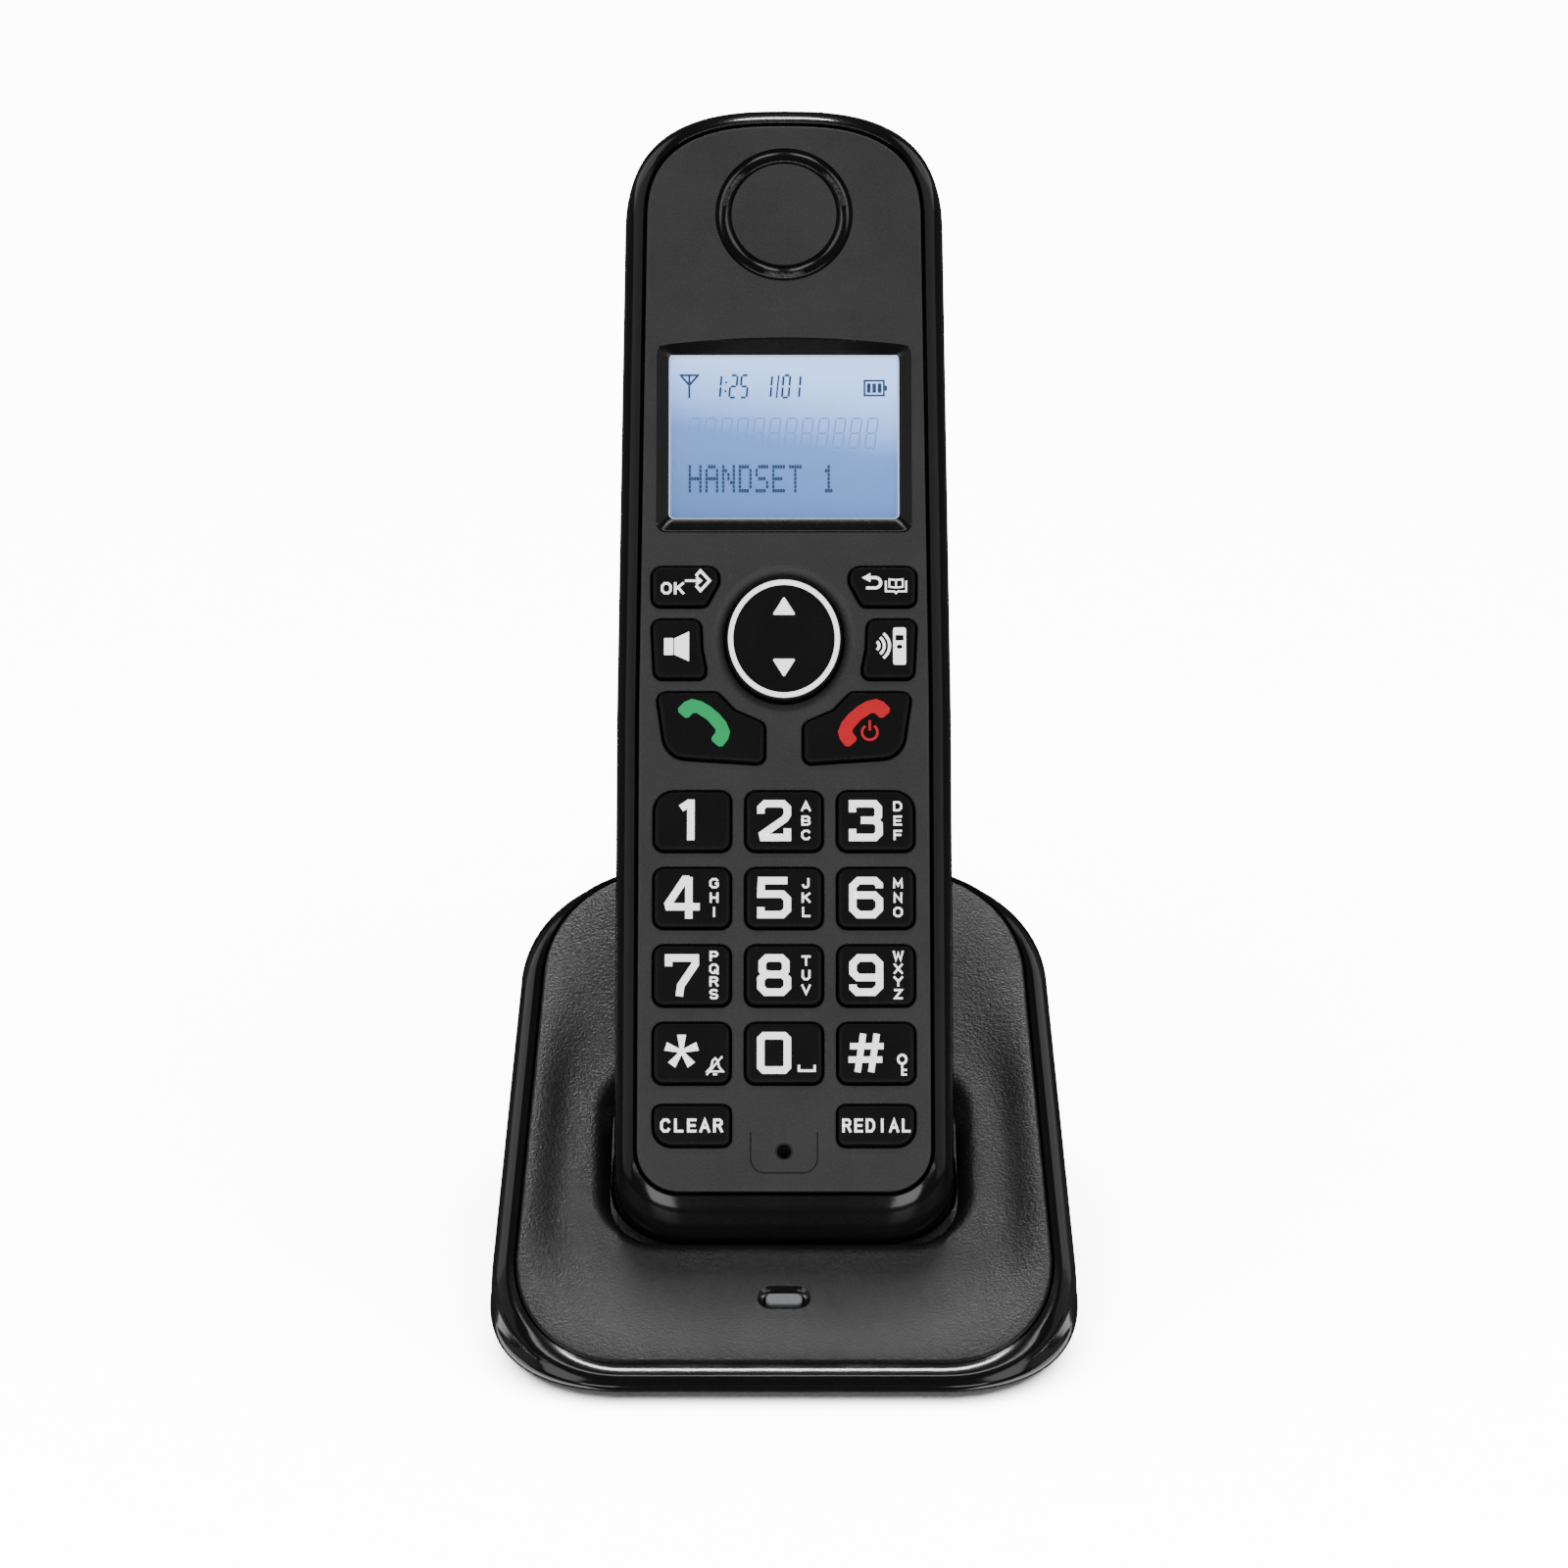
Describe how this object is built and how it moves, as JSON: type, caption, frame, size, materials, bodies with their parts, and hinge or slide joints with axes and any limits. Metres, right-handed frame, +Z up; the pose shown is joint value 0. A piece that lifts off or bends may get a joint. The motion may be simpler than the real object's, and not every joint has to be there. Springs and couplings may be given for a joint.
{
  "type": "cordless telephone with charging base",
  "caption": "Black cordless telephone handset with large keys and a small lit display, leaning in a sloped charging base.",
  "frame": {"origin": "on the surface that the base stands on, under the middle of the docked telephone's bounding box", "axes": "+Z up, -Y towards the user (the base's low front edge and the handset's face), +X to the user's right"},
  "size_m": [0.082, 0.1215, 0.1556],
  "materials": {
    "face_plastic": "fine matte texture",
    "shell_plastic": "polished black",
    "deck_plastic": "coarse spark texture",
    "inner_plastic": "fine texture",
    "key_rubber": "satin silicone with white print",
    "silicone": "matt",
    "display_glass": "pale blue backlit panel",
    "window_clear": "clear",
    "lamp_diffuser": "translucent grey",
    "circuit_board": "satin solder mask",
    "contact_gold": "polished gold plate",
    "steel": "zinc plated",
    "cell_wrap": "printed sleeve",
    "foot_rubber": "matt"
  },
  "bodies": {
    "base": {"base_rim": "shell_plastic", "cradle_deck": "deck_plastic", "base_bottom_cover": "inner_plastic", "base_circuit_board": "circuit_board", "line_jack": "inner_plastic", "power_jack": "inner_plastic", "lamp_lens": "lamp_diffuser", "base_screw_front_left": "steel", "base_screw_front_right": "steel", "base_screw_back_left": "steel", "base_screw_back_right": "steel", "foot_front_left": "foot_rubber", "foot_front_right": "foot_rubber", "foot_back_left": "foot_rubber", "foot_back_right": "foot_rubber"},
    "handset": {"handset_front_housing": "face_plastic", "handset_rear_housing": "shell_plastic", "keypad_membrane": "silicone", "handset_circuit_board": "circuit_board", "display_window": "window_clear", "display_panel": "display_glass", "display_backlight": "lamp_diffuser", "earpiece_speaker": "steel", "loudspeaker": "steel", "microphone": "steel", "battery_left": "cell_wrap", "battery_right": "cell_wrap", "charge_pad_left": "contact_gold", "charge_pad_right": "contact_gold", "handset_screw_left": "steel", "handset_screw_right": "steel", "battery_contact_lower": "steel", "battery_contact_upper": "steel"},
    "battery_door": {"battery_cover": "shell_plastic"},
    "navigation_key": {"nav_key": "key_rubber"},
    "key_ok_cap": {"key_ok": "key_rubber"},
    "key_back_cap": {"key_back": "key_rubber"},
    "key_speaker_cap": {"key_speaker": "key_rubber"},
    "key_intercom_cap": {"key_intercom": "key_rubber"},
    "key_talk_cap": {"key_talk": "key_rubber"},
    "key_end_cap": {"key_end": "key_rubber"},
    "key_clear_cap": {"key_clear": "key_rubber"},
    "key_redial_cap": {"key_redial": "key_rubber"},
    "key_1_cap": {"key_1": "key_rubber"},
    "key_2_cap": {"key_2": "key_rubber"},
    "key_3_cap": {"key_3": "key_rubber"},
    "key_4_cap": {"key_4": "key_rubber"},
    "key_5_cap": {"key_5": "key_rubber"},
    "key_6_cap": {"key_6": "key_rubber"},
    "key_7_cap": {"key_7": "key_rubber"},
    "key_8_cap": {"key_8": "key_rubber"},
    "key_9_cap": {"key_9": "key_rubber"},
    "key_star_cap": {"key_star": "key_rubber"},
    "key_0_cap": {"key_0": "key_rubber"},
    "key_hash_cap": {"key_hash": "key_rubber"},
    "base_contact_left": {"charge_contact_left": "contact_gold"},
    "base_contact_right": {"charge_contact_right": "contact_gold"}
  },
  "joints": [
    {"name": "handset_lift", "type": "slide", "parent": "base", "child": "handset", "axis": [0, 0.5, 0.866], "range_m": [0, 0.07]},
    {"name": "battery_door_swing", "type": "hinge", "parent": "handset", "child": "battery_door", "pos_m": [0, 0.0076, 0.05526], "axis": [-1, 0, 0], "range_deg": [0, 40]},
    {"name": "nav_key_rock", "type": "hinge", "parent": "handset", "child": "navigation_key", "pos_m": [0, 0.00613, 0.08718], "axis": [1, 0, 0], "range_deg": [-2.5, 2.5], "stiffness_Nm_per_rad": 0.05},
    {"name": "key_ok_press", "type": "slide", "parent": "handset", "child": "key_ok_cap", "axis": [0, 0.866, -0.5], "range_m": [0, 0.0008], "stiffness_N_per_m": 300},
    {"name": "key_back_press", "type": "slide", "parent": "handset", "child": "key_back_cap", "axis": [0, 0.866, -0.5], "range_m": [0, 0.0008], "stiffness_N_per_m": 300},
    {"name": "key_speaker_press", "type": "slide", "parent": "handset", "child": "key_speaker_cap", "axis": [0, 0.866, -0.5], "range_m": [0, 0.0008], "stiffness_N_per_m": 300},
    {"name": "key_intercom_press", "type": "slide", "parent": "handset", "child": "key_intercom_cap", "axis": [0, 0.866, -0.5], "range_m": [0, 0.0008], "stiffness_N_per_m": 300},
    {"name": "key_talk_press", "type": "slide", "parent": "handset", "child": "key_talk_cap", "axis": [0, 0.866, -0.5], "range_m": [0, 0.0008], "stiffness_N_per_m": 300},
    {"name": "key_end_press", "type": "slide", "parent": "handset", "child": "key_end_cap", "axis": [0, 0.866, -0.5], "range_m": [0, 0.0008], "stiffness_N_per_m": 300},
    {"name": "key_clear_press", "type": "slide", "parent": "handset", "child": "key_clear_cap", "axis": [0, 0.866, -0.5], "range_m": [0, 0.0008], "stiffness_N_per_m": 300},
    {"name": "key_redial_press", "type": "slide", "parent": "handset", "child": "key_redial_cap", "axis": [0, 0.866, -0.5], "range_m": [0, 0.0008], "stiffness_N_per_m": 300},
    {"name": "key_1_press", "type": "slide", "parent": "handset", "child": "key_1_cap", "axis": [0, 0.866, -0.5], "range_m": [0, 0.0008], "stiffness_N_per_m": 300},
    {"name": "key_2_press", "type": "slide", "parent": "handset", "child": "key_2_cap", "axis": [0, 0.866, -0.5], "range_m": [0, 0.0008], "stiffness_N_per_m": 300},
    {"name": "key_3_press", "type": "slide", "parent": "handset", "child": "key_3_cap", "axis": [0, 0.866, -0.5], "range_m": [0, 0.0008], "stiffness_N_per_m": 300},
    {"name": "key_4_press", "type": "slide", "parent": "handset", "child": "key_4_cap", "axis": [0, 0.866, -0.5], "range_m": [0, 0.0008], "stiffness_N_per_m": 300},
    {"name": "key_5_press", "type": "slide", "parent": "handset", "child": "key_5_cap", "axis": [0, 0.866, -0.5], "range_m": [0, 0.0008], "stiffness_N_per_m": 300},
    {"name": "key_6_press", "type": "slide", "parent": "handset", "child": "key_6_cap", "axis": [0, 0.866, -0.5], "range_m": [0, 0.0008], "stiffness_N_per_m": 300},
    {"name": "key_7_press", "type": "slide", "parent": "handset", "child": "key_7_cap", "axis": [0, 0.866, -0.5], "range_m": [0, 0.0008], "stiffness_N_per_m": 300},
    {"name": "key_8_press", "type": "slide", "parent": "handset", "child": "key_8_cap", "axis": [0, 0.866, -0.5], "range_m": [0, 0.0008], "stiffness_N_per_m": 300},
    {"name": "key_9_press", "type": "slide", "parent": "handset", "child": "key_9_cap", "axis": [0, 0.866, -0.5], "range_m": [0, 0.0008], "stiffness_N_per_m": 300},
    {"name": "key_star_press", "type": "slide", "parent": "handset", "child": "key_star_cap", "axis": [0, 0.866, -0.5], "range_m": [0, 0.0008], "stiffness_N_per_m": 300},
    {"name": "key_0_press", "type": "slide", "parent": "handset", "child": "key_0_cap", "axis": [0, 0.866, -0.5], "range_m": [0, 0.0008], "stiffness_N_per_m": 300},
    {"name": "key_hash_press", "type": "slide", "parent": "handset", "child": "key_hash_cap", "axis": [0, 0.866, -0.5], "range_m": [0, 0.0008], "stiffness_N_per_m": 300},
    {"name": "charge_contact_left_press", "type": "slide", "parent": "base", "child": "base_contact_left", "axis": [0, -0.5, -0.866], "range_m": [0, 0.001], "stiffness_N_per_m": 300},
    {"name": "charge_contact_right_press", "type": "slide", "parent": "base", "child": "base_contact_right", "axis": [0, -0.5, -0.866], "range_m": [0, 0.001], "stiffness_N_per_m": 300}
  ]
}
